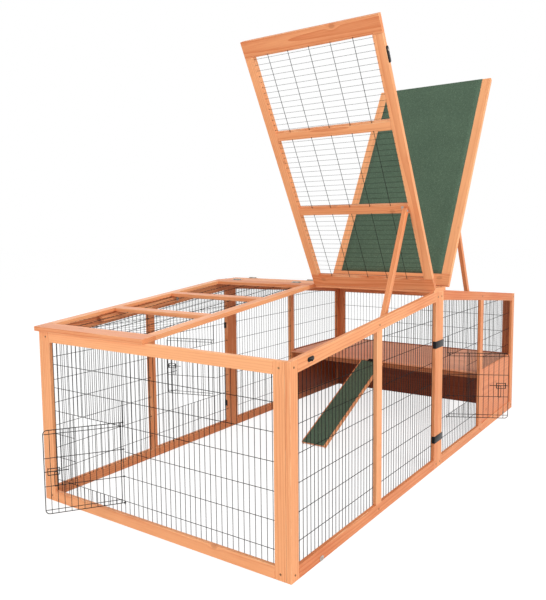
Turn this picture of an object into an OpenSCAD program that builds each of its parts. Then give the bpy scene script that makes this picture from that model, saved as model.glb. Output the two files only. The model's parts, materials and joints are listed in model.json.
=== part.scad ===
// Outdoor rabbit run: a low rectangular pen of glazed pine and welded mesh.
// Four lids hinge on a ridge board across the middle, two of mesh and two
// covered with felt, and each stands open on a prop stick. Three wire doors,
// a raised platform with a closed shelter beneath it and a felted ramp.
// X runs along the length, Y across it and Z up, from the middle of the
// footprint at ground level. The front long side is at -Y.

/* [Run] */
// Length over the end frames
run_length = 2330; // [1900:10:2900]
// Width over the long sides
run_width = 1160; // [900:10:1500]
// Height of the long sides at their ends
eave_height = 668.5; // [600:0.5:800]
// Slope of the roof in degrees
roof_pitch = 5.5; // [3:0.1:9]

/* [Timber] */
// Width of every post and rail
member = 42; // [34:1:54]
// Thickness of the panels and end frames
panel_thick = 18; // [16:1:26]
// Gap left in each joint between two timbers
joint_gap = 0.2; // [0.1:0.1:0.4]
// Width of the rebate that holds the mesh
rebate_width = 5; // [4:0.5:8]
// Depth of the rebate that holds the mesh
rebate_depth = 4; // [3:0.5:6]
// Width of the ridge board
ridge_width = 130; // [110:1:170]

/* [Mesh] */
// Thickness of the mesh wire
mesh_wire = 2; // [1.5:0.1:2.5]
// Distance between the upright wires
upright_pitch = 22.3; // [18:0.1:28]
// Distance between the level wires
row_pitch = 91.2; // [80:0.1:104]
// Of the upright wires, one in this many is modelled
upright_share = 8; // [6:1:12]
// Height of the lowest level wire in the long sides
side_row = 104; // [80:1:120]
// Height of the lowest level wire in the ends
end_row = 83; // [70:1:110]
// Play between a mesh sheet and its rebate
mesh_play = 0.5; // [0.3:0.1:1]

/* [Lids] */
// Distance of a lid's edge at the ridge from the pin's line
lid_start = 2; // [1:0.5:3]
// Thickness of the lids and the ridge board
lid_thick = 18; // [16:1:24]
// Distance that a lid runs past the end frame
lid_overhang = 15; // [8:1:30]
// Distance that a lid runs past the long side
lid_side_lap = 10; // [4:1:20]
// Gap on each side of the middle line between two lids
lid_mid_gap = 2; // [1:0.5:4]
// Width of the timber along the ridge
lid_ridge_rail = 56; // [50:1:90]
// Width of the timber along the free end
lid_end_rail = 65; // [50:1:80]
// Width of the two cross rails of a lid
lid_cross_rail = 40; // [34:1:50]
// Opening angle at which the prop stands on its rest
lid_full_open = 66.5; // [62:0.5:70]
// Whether the two front lids stand open
front_lids_open = true;
// Whether the two back lids stand open
back_lids_open = false;
// Gap between a closed lid and the rails under it
lid_seat_gap = 0.3; // [0.2:0.1:1]

/* [Felt lids] */
// Thickness of the roofing felt
felt_thick = 3; // [2:0.5:4]
// Thickness of the ply under the felt
lid_ply = 6; // [5:0.5:8]

/* [Lid hinges] */
// Length of each hinge along its pin
hinge_width = 44; // [40:1:80]
// Width of one hinge leaf
hinge_leaf = 16; // [14:1:34]
// Thickness of a hinge leaf
hinge_sheet = 1.2; // [1:0.1:1.6]
// Radius of the hinge pin
hinge_pin = 1.2; // [1:0.1:1.4]
// Radius of the hinge knuckles
hinge_knuckle = 2.6; // [2.4:0.1:3]
// Radial play of the hinge pin in its bore
pin_play = 0.05; // [0.03:0.01:0.08]
// Distance of the pin's line past the edge that the hinge is on
pin_offset = 1; // [0.5:0.1:1.5]
// Distance from a lid's side to its nearer hinge's middle
hinge_inset = 110; // [80:5:160]

/* [Props] */
// Gap between a folded prop and the lid's underside
prop_lid_gap = 1.5; // [1:0.1:6]
// Gap between a folded prop and the rest that it stands on
prop_rest_gap = 1.4; // [0.8:0.1:3]
// Depth of a prop in the plane that it swings in
prop_depth = 22; // [18:1:32]
// Thickness of a prop
prop_thick = 18; // [14:1:24]
// Distance of the prop's pivot from the ridge pin, along the lid
prop_reach = 383; // [300:1:400]
// Distance of a prop from the inner face of the long side
prop_inset = 13; // [6:0.5:20]
// Steepness of a standing prop in degrees
prop_lean = 64.5; // [60:0.5:68]
// Height of the rest block
rest_height = 9; // [8:1:22]
// Length of the rest past the prop's foot at each end
rest_margin = 2; // [1:0.5:6]
// Radius of the prop's pivot pin
prop_pin = 3; // [2:0.5:4]

/* [Latches and clips] */
// Distance of a lid latch from the lid's free end
latch_inset = 124; // [90:1:200]
// Length of the latch lever past its pivot
latch_lever = 44; // [34:1:50]
// Width of the latch lever
latch_width = 14; // [10:1:16]
// Thickness of the latch lever
latch_thick = 4; // [3:0.5:5]
// Distance of the catch plate's middle below the lid
catch_drop = 19; // [16:0.5:24]
// Length of the catch plate on the rail
catch_length = 34; // [28:1:46]
// Width of the catch plate on the rail
catch_width = 14; // [12:1:26]
// Height of a clip that joins two half panels
clip_height = 31; // [24:1:60]
// Height of the lower clips' middle
clip_low = 132; // [80:1:200]
// Height of the upper clips' middle
clip_high = 548; // [450:1:570]
// Thickness of the clips
clip_sheet = 1.5; // [1:0.1:3]
// Distance of a ground-peg eye from the middle of the run
peg_eye_at = 992; // [700:1:1050]
// Length of a ground-peg eye
peg_eye_length = 23; // [20:1:40]
// Height of a ground-peg eye
peg_eye_height = 16; // [14:1:26]
// Radius of the screw heads
screw_radius = 3.5; // [3:0.1:5]
// Height of the screw heads
screw_rise = 1.2; // [0.8:0.1:2]

/* [Doors] */
// Number of upright wire spaces across a door
door_spaces = 12; // [10:2:14]
// Number of mesh rows that a doorway is high
door_rows = 3; // [2:1:3]
// Distance that a door laps over the mesh above its doorway
door_lap = 18.4; // [14:0.1:30]
// Distance that a door laps over the mesh below its doorway
door_drop = 5; // [4:0.5:8]
// Thickness of the door wire
door_wire = 3; // [2.5:0.1:3.5]
// Of the door's upright wires, one in this many is modelled
door_share = 2; // [2:2]
// Radius of the door's free corners
door_corner = 12; // [8:1:18]
// Distance between the two wires along the door's top and foot
door_twin = 15; // [12:1:20]
// Gap between the closed door's edge and the doorway's free edge
jamb_gap = 7.4; // [5:0.1:9]
// Opening angle of the end door
end_door_open = 55; // [0:0.1:90]
// Opening angle of the front door
front_door_open = 63; // [0:0.1:90]
// Opening angle of the back door
back_door_open = 74; // [0:0.1:90]
// Distance of the end door's hinge behind the middle
end_door_at = 141; // [60:1:170]
// Distance of the front door's hinge to the right of the middle
front_door_at = 138; // [80:1:200]
// Distance of the back door's hinge to the left of the middle
back_door_at = 148; // [80:1:200]
// Mesh row that the front and back doors stand above
side_door_row = 1; // [0:1:2]

/* [Door bolts] */
// Length of a door bolt
bolt_length = 79; // [70:1:90]
// Distance of the bolt's tip from the door's free edge
bolt_short = 2.6; // [2:0.1:4]
// Length of bolt between its tip and its guide
bolt_end = 9; // [6:1:12]
// Travel of a door bolt
bolt_travel = 15; // [14:0.5:16]
// Length of the guide that the bolt slides in
bolt_guide = 41; // [36:1:44]
// Height of the bolt's guide
guide_height = 25; // [18:1:32]
// Height of the thumb loop
thumb_height = 50; // [36:1:60]
// Distance of the thumb loop from the guide's nearer plate
thumb_inset = 10; // [9:0.5:12]
// Width of the thumb loop
thumb_width = 12; // [10:1:24]

/* [Shelter] */
// Height of the platform's top
platform_top = 318; // [290:1:380]
// Thickness of the platform and of the shelter walls
shelter_ply = 9; // [6:1:12]
// Distance of the platform's free edge from the middle
platform_edge = 565; // [520:1:700]
// Height of the walls above the platform
wall_rise = 4; // [2:1:10]
// Distance that the mesh reaches down behind a wall board
wall_lap = 8; // [5:0.5:15]
// Depth of the bearers under the platform
bearer_depth = 30; // [20:1:40]
// Thickness of the bearers under the platform
bearer_thick = 20; // [15:1:25]
// Distance of the front bearer behind the platform's free edge
bearer_inset = 25; // [0:1:60]

/* [Ramp] */
// Length of the ramp from its hinge to its foot
ramp_length = 700; // [660:1:760]
// Width of the ramp
ramp_width = 131; // [100:1:160]
// Thickness of the ramp board
ramp_ply = 9; // [6:1:12]
// Thickness of the ramp's side strips
strip_thick = 6; // [5:1:10]
// Depth of the ramp's side strips
strip_depth = 18; // [14:1:22]
// Distance of the ramp's middle line behind the run's
ramp_at = 21.5; // [-60:0.5:60]
// Width of the cleats under the ramp
cleat_width = 20; // [14:1:28]
// Number of cleats under the ramp
cleats = 3; // [2:1:5]

/* [Hidden] */
$fn = 48;
half_length = run_length / 2;
half_width = run_width / 2;
inner_x = half_length - panel_thick;
inner_y = half_width - panel_thick;
mid_post = joint_gap + member;
bay_mid = half_length / 2;
ridge_half = ridge_width / 2;
touch_gap = 0.3;
cut_over = 1;
edge_clear = 1;

// Height of the long sides' top edge, level under the ridge board
function roof_z(x) = eave_height + (half_length - max(x, ridge_half)) * tan(roof_pitch);
ridge_seat = roof_z(ridge_half);
ridge_top = ridge_seat + lid_thick;

// Positions at a pitch, centred between two ends
function spread(lo, hi, pitch) =
    let (n = floor((hi - lo) / pitch))
    [for (i = [0 : n]) (lo + hi - n * pitch) / 2 + i * pitch];

// Mesh sheets: the outer face of a sheet lies against the rebate's floor
net_step = upright_pitch * upright_share;
net_grow = rebate_width - mesh_play;
side_net = inner_y + rebate_depth;
end_net = inner_x + rebate_depth;

// Lids: the pin lies over the joint between the ridge board and the lid
pin_rise = hinge_knuckle + 2 * touch_gap;
pin_x = ridge_half + pin_offset;
pin_z = ridge_top + pin_rise;
lid_under = (pin_z - ridge_seat) * cos(roof_pitch) + (pin_x - ridge_half) * sin(roof_pitch) - lid_seat_gap;
lid_face = lid_under - lid_thick;
lid_end = (half_length + lid_overhang - pin_x) / cos(roof_pitch);
lid_out = half_width + lid_side_lap;
cells_from = lid_start + lid_ridge_rail;
cells_to = lid_end - lid_end_rail;
lid_cell = (cells_to - cells_from - 2 * lid_cross_rail) / 3;
stile_in = lid_out - member;
stile_mid = lid_mid_gap + member;
hinge_places = [hinge_inset, half_width - hinge_inset];
felt_batten = lid_thick - lid_ply - felt_thick - joint_gap;

// Props: the pivot hangs under the lid and the foot stands on the rest
ear_sheet = 2;
ear_flange = 10;
ear_half = 14;
ear_radius = 8;
pin_head = 2;
prop_out = inner_y - prop_inset;
prop_in = prop_out - prop_thick;
ear_out = prop_in - touch_gap;
prop_drop = prop_depth / 2 + prop_lid_gap;
open_slope = lid_full_open - roof_pitch;
pivot_fall = lid_under + prop_drop;
pivot_x = pin_x + prop_reach * cos(open_slope) + pivot_fall * sin(open_slope);
pivot_z = pin_z + prop_reach * sin(open_slope) - pivot_fall * cos(open_slope);
prop_fold = open_slope + prop_lean;
rest_fall = pivot_fall + prop_depth / 2 + prop_rest_gap;
pivot_rise = prop_reach * sin(lid_full_open) - pivot_fall * cos(lid_full_open);
prop_length = (pivot_rise + rest_fall) / sin(prop_lean - roof_pitch);
foot_x = pivot_x + prop_length * cos(prop_lean);
foot_z = pivot_z - prop_length * sin(prop_lean);
foot_half = prop_depth / 2 / sin(prop_lean);

// Latches, in the closed lid's own frame
latch_reach = lid_end - latch_inset;
latch_fall = lid_face + lid_thick / 2;
latch_tail = 14;
latch_pin = 2.5;
catch_fall = lid_under + lid_seat_gap + catch_drop;
catch_sheet = 3;
catch_nose = 3;
lever_face = lid_out + touch_gap;

// Doors
door_width = door_spaces * upright_pitch;
door_height = door_drop + door_rows * row_pitch + door_lap;
door_edge = 7;
door_pin = door_wire / 2;
door_out = touch_gap + door_pin;
ring_wall = 1.5;
loop_wire = 2.4;
bolt_radius = 1.5;
bolt_depth = door_out + mesh_wire + touch_gap + bolt_radius + 2 * pin_play;
bolt_tip = door_width - bolt_short;
guide_sheet = 2.5;
guide_grip = 2;
thumb_stem = 1;
guide_from = bolt_tip - bolt_guide - bolt_end;
thumb_at = guide_from + guide_sheet + thumb_inset;
end_door_base = end_row - door_drop;
side_door_base = side_row + side_door_row * row_pitch - door_drop;

// Shelter and ramp
wall_foot = 1;
wall_top = platform_top + wall_rise;
ramp_pin_x = platform_edge - pin_offset;
ramp_pin_z = platform_top + pin_rise;
ramp_face = pin_rise - touch_gap;
ramp_under = ramp_face + strip_depth;
ramp_slope = asin((ramp_pin_z - touch_gap) / norm([ramp_length, ramp_under]))
    - atan(ramp_under / ramp_length);
ramp_start = (ramp_under * sin(ramp_slope) + edge_clear) / cos(ramp_slope);

glazed = [0.93, 0.66, 0.44];
ply = [0.80, 0.58, 0.42];
felt = [0.30, 0.42, 0.32];
zinc = [0.62, 0.62, 0.62];
black = [0.12, 0.12, 0.12];
wire_grey = [0.30, 0.30, 0.30];

// ---------- shared shapes ----------

// A box from its low corner to its high corner
module block(lo, hi) {
    translate(lo) cube(hi - lo);
}

// A flat shape in X and Z, thick from y0 to y1
module slab_xz(y0, y1) {
    translate([0, y1, 0]) rotate([90, 0, 0]) linear_extrude(y1 - y0) children();
}

// A flat shape in Y and Z, thick from x0 to x1
module slab_yz(x0, x1) {
    translate([x0, 0, 0]) rotate([90, 0, 90]) linear_extrude(x1 - x0) children();
}

// A cylinder along Y from y0 to y1
module rod_y(radius, y0, y1) {
    translate([0, y1, 0]) rotate([90, 0, 0]) cylinder(r = radius, h = y1 - y0);
}

// A bar with round ends, centred
module oval(length, width) {
    union() {
        square([length - width, width], center = true);
        for (side = [-1, 1]) translate([side * (length - width) / 2, 0]) circle(d = width);
    }
}

// One quarter of the run, built at +X and +Y
module quarter(sx, sy) {
    mirror([sx < 0 ? 1 : 0, 0, 0]) mirror([0, sy < 0 ? 1 : 0, 0]) children();
}

// ---------- long sides and ends ----------

// The roof line between two places, lowered by a depth
function roof_line(x0, x1, drop) =
    [for (x = [x1, ridge_half, x0]) if (x >= x0 && x <= x1) [x, roof_z(x) - drop]];

module post_shape(x0, x1) {
    polygon(concat([[x0, 0], [x1, 0]], roof_line(x0, x1, 0)));
}

// The open bay between two posts, grown into their rebates
module bay_shape(x0, x1, grow) {
    polygon(concat(
        [[x0 - grow, member - grow], [x1 + grow, member - grow]],
        roof_line(x0 - grow, x1 + grow, member - grow)));
}

bays = [[mid_post, bay_mid - member / 2], [bay_mid + member / 2, half_length - member]];

module side_panel() {
    rail_from = mid_post + joint_gap;
    rail_to = half_length - member - joint_gap;
    color(glazed) difference() {
        slab_xz(inner_y, half_width) {
            post_shape(joint_gap, mid_post);
            post_shape(half_length - member, half_length);
            translate([rail_from, 0]) square([rail_to - rail_from, member]);
            polygon(concat(
                roof_line(rail_from, rail_to, 0),
                [[rail_from, roof_z(rail_from) - member]],
                [[ridge_half, roof_z(ridge_half) - member]],
                [[rail_to, roof_z(rail_to) - member]]));
            polygon([
                [bay_mid - member / 2, member + joint_gap],
                [bay_mid + member / 2, member + joint_gap],
                [bay_mid + member / 2, roof_z(bay_mid + member / 2) - member - joint_gap],
                [bay_mid - member / 2, roof_z(bay_mid - member / 2) - member - joint_gap]]);
        }
        for (bay = bays) slab_xz(inner_y - cut_over, side_net) bay_shape(bay[0], bay[1], rebate_width);
    }
}

module end_frame() {
    reach = inner_y - joint_gap;
    rail = reach - member - joint_gap;
    color(glazed) difference() {
        union() {
            for (side = [-1, 1]) block(
                [inner_x, side > 0 ? reach - member : -reach, 0],
                [half_length, side > 0 ? reach : member - reach, eave_height]);
            for (z = [0, eave_height - member]) block([inner_x, -rail, z], [half_length, rail, z + member]);
        }
        block(
            [inner_x - cut_over, member - reach - rebate_width, member - rebate_width],
            [end_net, reach - member + rebate_width, eave_height - member + rebate_width]);
    }
}

module ridge_board() {
    color(glazed) block([-ridge_half, -half_width, ridge_seat], [ridge_half, half_width, ridge_top]);
}

// ---------- mesh ----------

// Upright and level wires over an area, with an optional doorway
module wire_grid(x0, x1, z0, z1, rows_from, door_at = undef, door_base = 0) {
    has_door = door_at != undef;
    door_to = has_door ? door_at + door_width + jamb_gap : 0;
    difference() {
        union() {
            for (x = spread(x0 + mesh_wire, x1 - mesh_wire, net_step))
                translate([x - mesh_wire / 2, z0]) square([mesh_wire, z1 - z0]);
            for (z = [rows_from : row_pitch : z1 - mesh_wire / 2]) if (z > z0)
                translate([x0, z - mesh_wire / 2]) square([x1 - x0, mesh_wire]);
        }
        if (has_door) translate([door_at, door_base + mesh_wire / 2])
            square([door_to - door_at, door_rows * row_pitch - mesh_wire]);
    }
    if (has_door) translate([door_to, door_base - mesh_wire / 2])
        square([mesh_wire, door_rows * row_pitch + mesh_wire]);
}

// The outer bay of the shelter's sides has mesh only above its wall board
module side_mesh(door_at = undef, boarded = false) {
    color(wire_grey) slab_xz(side_net - mesh_wire, side_net) for (i = [0, 1]) {
        bay = bays[i];
        low = boarded && i == 1 ? wall_top - wall_lap : 0;
        intersection() {
            bay_shape(bay[0], bay[1], net_grow);
            wire_grid(
                bay[0] - rebate_width, bay[1] + rebate_width, low, ridge_top, side_row,
                i == 0 ? door_at : undef, side_row + side_door_row * row_pitch);
        }
    }
}

module end_mesh(door_at = undef) {
    reach = inner_y - joint_gap - member + net_grow;
    low = member - net_grow;
    high = eave_height - member + net_grow;
    color(wire_grey) slab_yz(end_net - mesh_wire, end_net)
        wire_grid(-reach, reach, low, high, end_row, door_at, end_row);
}

// ---------- platform, shelter and ramp ----------

shelter_half = inner_y - joint_gap;
wall_end = inner_x - shelter_ply;

module platform_board() {
    color(ply) block(
        [platform_edge, -shelter_half, platform_top - shelter_ply],
        [wall_end - joint_gap, shelter_half, platform_top]);
}

module platform_bearers() {
    top = platform_top - shelter_ply;
    low = top - bearer_depth;
    front = platform_edge + bearer_inset;
    from = front + bearer_thick + joint_gap;
    to = wall_end - bearer_thick - joint_gap;
    color(glazed) {
        for (x = [front, wall_end - bearer_thick])
            block([x, -shelter_half, low], [x + bearer_thick, shelter_half, top]);
        for (y = [-shelter_half, shelter_half - bearer_thick])
            block([from, y, low], [to, y + bearer_thick, top]);
    }
}

// A board that stands in the outer bay of a long side, in front of the mesh
module side_wall() {
    face = side_net + joint_gap;
    foot = member + joint_gap;
    color(ply) block(
        [bays[1][0] + joint_gap, face, foot],
        [bays[1][1] - joint_gap, face + shelter_ply, wall_top]);
}

module end_wall() {
    color(ply) block([wall_end, -shelter_half, wall_foot], [inner_x, shelter_half, wall_top]);
}

// ---------- hinges with a round pin, along Y, in the pin's own frame ----------

// The fixed half: a leaf towards -X, two knuckles and the pin
module hinge_seat() {
    third = hinge_width / 6;
    half = hinge_width / 2;
    low = -pin_rise;
    union() {
        block([-hinge_leaf, -half, low], [-hinge_knuckle - touch_gap, half, low + hinge_sheet]);
        rod_y(hinge_pin, -half, half);
        for (side = [-1, 1]) {
            inner = third + touch_gap / 2;
            from = side > 0 ? inner : -half;
            to = side > 0 ? half : -inner;
            block([-hinge_knuckle - 2 * touch_gap, from, low], [0, to, low + hinge_sheet]);
            rod_y(hinge_knuckle, from, to);
        }
    }
}

// The moving half: a leaf towards +X on a face below the pin, and the middle knuckle
module hinge_leaf_on(face) {
    inner = hinge_width / 6 - touch_gap / 2;
    half = hinge_width / 2;
    difference() {
        union() {
            block([hinge_knuckle + touch_gap, -half, -face], [hinge_leaf, half, hinge_sheet - face]);
            block([0, -inner, -face], [hinge_knuckle + 2 * touch_gap, inner, hinge_sheet - face]);
            rod_y(hinge_knuckle, -inner, inner);
        }
        rod_y(hinge_pin + pin_play, -half, half);
    }
}

// A low round screw head on a face that looks along +Z
module screw_head() {
    color(zinc) cylinder(r = screw_radius, h = screw_rise);
}

// ---------- the ramp ----------

// The ramp's own frame: X down the slope from the pin, Z out of its face
module on_ramp() {
    translate([ramp_pin_x, ramp_at, ramp_pin_z]) rotate([0, -ramp_slope, 0]) rotate([0, 0, 180]) children();
}

ramp_half = ramp_width / 2;
ramp_inside = ramp_half - strip_thick - joint_gap;
ramp_ply_top = -ramp_face - felt_thick;

module ramp_board() {
    first = ramp_start + cleat_width;
    step = (ramp_length - 2 * cleat_width - first) / (cleats - 1);
    color(ply) on_ramp() {
        block(
            [ramp_start, -ramp_inside, ramp_ply_top - ramp_ply],
            [ramp_length, ramp_inside, ramp_ply_top]);
        for (i = [0 : cleats - 1]) translate([first + i * step, 0, 0]) block(
            [0, -ramp_inside, -ramp_under],
            [cleat_width, ramp_inside, ramp_ply_top - ramp_ply]);
    }
}

module ramp_felt() {
    color(felt) on_ramp()
        block([ramp_start, -ramp_inside, ramp_ply_top], [ramp_length, ramp_inside, -ramp_face]);
}

module ramp_strips() {
    color(glazed) on_ramp() for (side = [-1, 1]) block(
        [ramp_start, side > 0 ? ramp_half - strip_thick : -ramp_half, -ramp_under],
        [ramp_length, side > 0 ? ramp_half : strip_thick - ramp_half, -ramp_face]);
}

module ramp_hinge() {
    color(black) on_ramp() hinge_leaf_on(ramp_face);
}

module ramp_hinge_seat() {
    color(black) translate([ramp_pin_x, ramp_at, ramp_pin_z]) rotate([0, 0, 180]) hinge_seat();
}

// ---------- lids ----------

// A lid's own frame: X from the ridge pin along the lid, Z out of its face
module on_lid(open) {
    translate([pin_x, 0, pin_z]) rotate([0, open ? -open_slope : roof_pitch, 0]) children();
}

module on_front_lid(sx) {
    quarter(sx, -1) on_lid(front_lids_open) children();
}

module on_back_lid(sx) {
    quarter(sx, 1) on_lid(back_lids_open) children();
}

// A flat timber of the lid, between two places along it and two across it
module lid_board(s0, s1, y0, y1, low = 0, high = lid_thick) {
    block([s0, y0, low - lid_under], [s1, y1, high - lid_under]);
}

function cell_at(i) = cells_from + i * (lid_cell + lid_cross_rail);

module mesh_lid_frame() {
    color(glazed) difference() {
        union() {
            lid_board(lid_start, cells_from, lid_mid_gap, lid_out);
            lid_board(cells_to, lid_end, lid_mid_gap, lid_out);
            lid_board(cells_from + joint_gap, cells_to - joint_gap, lid_mid_gap, stile_mid);
            lid_board(cells_from + joint_gap, cells_to - joint_gap, stile_in, lid_out);
            for (i = [1, 2]) lid_board(
                cell_at(i) - lid_cross_rail, cell_at(i),
                stile_mid + joint_gap, stile_in - joint_gap);
        }
        for (i = [0 : 2]) lid_board(
            cell_at(i) - rebate_width, cell_at(i) + lid_cell + rebate_width,
            stile_mid - rebate_width, stile_in + rebate_width, -cut_over, rebate_depth);
    }
}

module mesh_lid_net() {
    color(wire_grey) for (i = [0 : 2]) {
        s0 = cell_at(i) - net_grow;
        s1 = cell_at(i) + lid_cell + net_grow;
        y0 = stile_mid - net_grow;
        y1 = stile_in + net_grow;
        translate([0, 0, rebate_depth - mesh_wire - lid_under]) linear_extrude(mesh_wire) {
            for (y = spread(y0 + mesh_wire, y1 - mesh_wire, row_pitch))
                translate([s0, y - mesh_wire / 2]) square([s1 - s0, mesh_wire]);
            for (s = spread(s0 + mesh_wire, s1 - mesh_wire, net_step))
                translate([s - mesh_wire / 2, y0]) square([mesh_wire, y1 - y0]);
        }
    }
}

module felt_lid_frame() {
    color(glazed) {
        lid_board(lid_start, cells_from, lid_mid_gap, lid_out);
        lid_board(cells_from + joint_gap, lid_end, lid_mid_gap, stile_mid);
        lid_board(cells_from + joint_gap, lid_end, stile_in, lid_out);
        for (s = [cell_at(1), cell_at(2), lid_end]) lid_board(
            s - lid_cross_rail, s,
            stile_mid + joint_gap, stile_in - joint_gap, 0, felt_batten);
    }
}

module felt_lid_board() {
    color(ply) lid_board(
        cells_from + joint_gap, lid_end,
        stile_mid + joint_gap, stile_in - joint_gap, felt_batten, felt_batten + lid_ply);
}

// The felt lies over the ply and turns down over its free end
module felt_lid_felt() {
    under = -lid_face - felt_thick;
    fold = lid_end + joint_gap;
    color(felt) slab_xz(stile_mid + joint_gap, stile_in - joint_gap) polygon([
        [cells_from + joint_gap, under], [fold, under], [fold, -lid_under],
        [fold + felt_thick, -lid_under], [fold + felt_thick, -lid_face],
        [cells_from + joint_gap, -lid_face]]);
}

// Hinge leaves, the prop's bracket with its pin, and on a mesh lid the latch's pin
module lid_hardware(latched) {
    color(zinc) {
        for (y = hinge_places) translate([0, y, 0]) hinge_leaf_on(lid_face);
        prop_bracket();
        if (latched) latch_screw();
    }
}

module latch_screw() {
    head = lever_face + latch_thick + touch_gap;
    translate([latch_reach, 0, -latch_fall]) {
        rod_y(latch_pin, lid_out, head);
        rod_y(latch_pin + pin_head, head, head + pin_head);
    }
}

// The ear stands on the middle's side of the prop and the pin's head on the other
module prop_bracket() {
    ear_in = ear_out - ear_sheet;
    head = prop_out + touch_gap;
    block(
        [prop_reach - ear_half, ear_out - ear_flange, -lid_under - ear_sheet],
        [prop_reach + ear_half, ear_out, -lid_under]);
    slab_xz(ear_in, ear_out) {
        translate([prop_reach, -pivot_fall]) circle(r = ear_radius);
        translate([prop_reach - ear_radius, -pivot_fall]) square([2 * ear_radius, prop_drop]);
    }
    translate([prop_reach, 0, -pivot_fall]) {
        rod_y(prop_pin, ear_in, head);
        rod_y(prop_pin + pin_head, head, head + pin_head);
    }
}

// The prop in its own frame: X from the pivot to the foot
module prop(open) {
    half = prop_depth / 2;
    slant = half / tan(prop_lean - roof_pitch);
    color(glazed) translate([prop_reach, 0, -pivot_fall]) rotate([0, open ? prop_fold : 0, 0])
        difference() {
            slab_xz(prop_in, prop_out) {
                circle(r = half);
                polygon([
                    [0, -half], [prop_length - slant, -half],
                    [prop_length + slant, half], [0, half]]);
            }
            rod_y(prop_pin + pin_play, prop_in - cut_over, prop_out + cut_over);
        }
}

module prop_rest() {
    reach = foot_half + rest_margin;
    rise = reach * tan(roof_pitch);
    color(glazed) slab_xz(prop_in, inner_y) translate([foot_x, foot_z - touch_gap]) polygon([
        [-reach, -rest_height], [reach, -rest_height], [reach, -rise], [-reach, rise]]);
}

// The latch lever, parked towards the ridge and turned down over the catch to lock
module lid_latch() {
    color(black) translate([latch_reach, 0, -latch_fall]) difference() {
        slab_xz(lever_face, lever_face + latch_thick)
            translate([(latch_tail - latch_lever) / 2, 0]) oval(latch_lever + latch_tail, latch_width);
        rod_y(latch_pin + pin_play, lid_out, lever_face + 2 * latch_thick);
    }
}

module latch_catch() {
    nose_at = latch_width / 2 + touch_gap + catch_nose;
    color(black) on_lid(false) translate([latch_reach, 0, -catch_fall]) {
        slab_xz(half_width, half_width + catch_sheet) oval(catch_length, catch_width);
        translate([nose_at, 0, 0])
            rod_y(catch_nose, half_width + catch_sheet / 2, lever_face + latch_thick);
    }
}

// ---------- doors ----------

// A doorway's own frame: X across the closed door from its hinge, Y outwards, Z up
module in_front_doorway() {
    quarter(1, -1) translate([front_door_at, side_net + door_out, side_door_base]) children();
}

module in_back_doorway() {
    quarter(-1, 1) translate([back_door_at, side_net + door_out, side_door_base]) children();
}

module in_end_doorway() {
    quarter(-1, 1) translate([end_net + door_out, end_door_at, end_door_base])
        mirror([1, -1, 0]) children();
}

// An open door's own frame, as above but turned with the door
module on_front_door() {
    in_front_doorway() rotate([0, 0, front_door_open]) children();
}

module on_back_door() {
    in_back_doorway() rotate([0, 0, back_door_open]) children();
}

module on_end_door() {
    in_end_doorway() rotate([0, 0, end_door_open]) children();
}

function door_levels() = [for (i = [0 : door_rows]) min(
    max(i * door_height / door_rows, door_pin),
    door_height - door_pin)];

// The door's outline, with round corners on its free side
module door_outline(inset) {
    radius = door_corner - inset;
    wide = door_width - door_edge - 2 * inset;
    high = door_height - 2 * inset;
    translate([door_edge + inset, inset]) {
        square([wide - radius, high]);
        translate([0, radius]) square([wide, high - 2 * radius]);
        for (z = [radius, high - radius]) translate([wide - radius, z]) circle(r = radius);
    }
}

module door_flat() {
    bars = door_spaces / door_share;
    difference() {
        door_outline(0);
        door_outline(door_wire);
    }
    for (i = [1 : bars - 1])
        translate([door_edge + i * (door_width - door_edge) / bars - door_pin, door_pin])
            square([door_wire, door_height - door_wire]);
    for (i = [1 : door_rows - 1])
        translate([door_edge, i * door_height / door_rows - door_pin])
            square([door_width - door_edge - door_pin, door_wire]);
    for (z = [door_twin, door_height - door_twin])
        translate([door_edge, z - door_pin]) square([door_width - door_edge - door_pin, door_wire]);
    for (z = door_levels()) translate([0, z - door_pin]) square([door_edge + door_pin, door_wire]);
}

// Two plates with a bore and the bars that hold them to the door
module bolt_guides() {
    half = guide_height / 2;
    bar = door_pin + guide_grip;
    translate([guide_from, 0, door_height / 2]) {
        for (x = [0, bolt_guide - guide_sheet]) block(
            [x, -bolt_depth - bolt_radius - guide_sheet, -half],
            [x + guide_sheet, -door_pin / 2, half]);
        for (z = [-half, half - guide_sheet]) block(
            [0, -bar, z],
            [bolt_guide, -door_pin / 2, z + guide_sheet]);
    }
}

module door() {
    ring = door_pin + pin_play + ring_wall;
    color(wire_grey) difference() {
        union() {
            slab_xz(-door_pin, door_pin) door_flat();
            for (z = door_levels()) translate([0, 0, z - door_pin]) cylinder(r = ring, h = door_wire);
            bolt_guides();
        }
        translate([0, 0, -cut_over]) cylinder(r = door_pin + pin_play, h = door_height + 2 * cut_over);
        translate([0, -bolt_depth, door_height / 2]) rotate([0, 90, 0])
            cylinder(r = bolt_radius + pin_play, h = door_width);
    }
}

// The bolt with the thumb loop that hangs from it
module door_bolt() {
    loop = loop_wire / 2;
    front = door_pin + 2 * touch_gap + loop;
    half = thumb_width / 2;
    color(wire_grey) translate([0, 0, door_height / 2]) {
        translate([bolt_tip - bolt_length, -bolt_depth, 0]) rotate([0, 90, 0])
            cylinder(r = bolt_radius, h = bolt_length);
        translate([thumb_at, 0, 0]) {
            rod_y(thumb_stem, -bolt_depth, front);
            for (z = [0, -thumb_height]) translate([-half, front, z]) rotate([0, 90, 0])
                cylinder(r = loop, h = thumb_width);
            for (x = [-half, half]) {
                translate([x, front, -thumb_height]) cylinder(r = loop, h = thumb_height);
                for (z = [0, -thumb_height]) translate([x, front, z]) sphere(r = loop);
            }
        }
    }
}

// The upright of the mesh that a door turns on
module hinge_rod() {
    over = 2 * mesh_wire;
    color(wire_grey) translate([0, 0, -over])
        cylinder(r = door_pin, h = door_drop + (door_rows + 1) * row_pitch + 2 * over);
}

// ---------- fittings ----------

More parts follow.
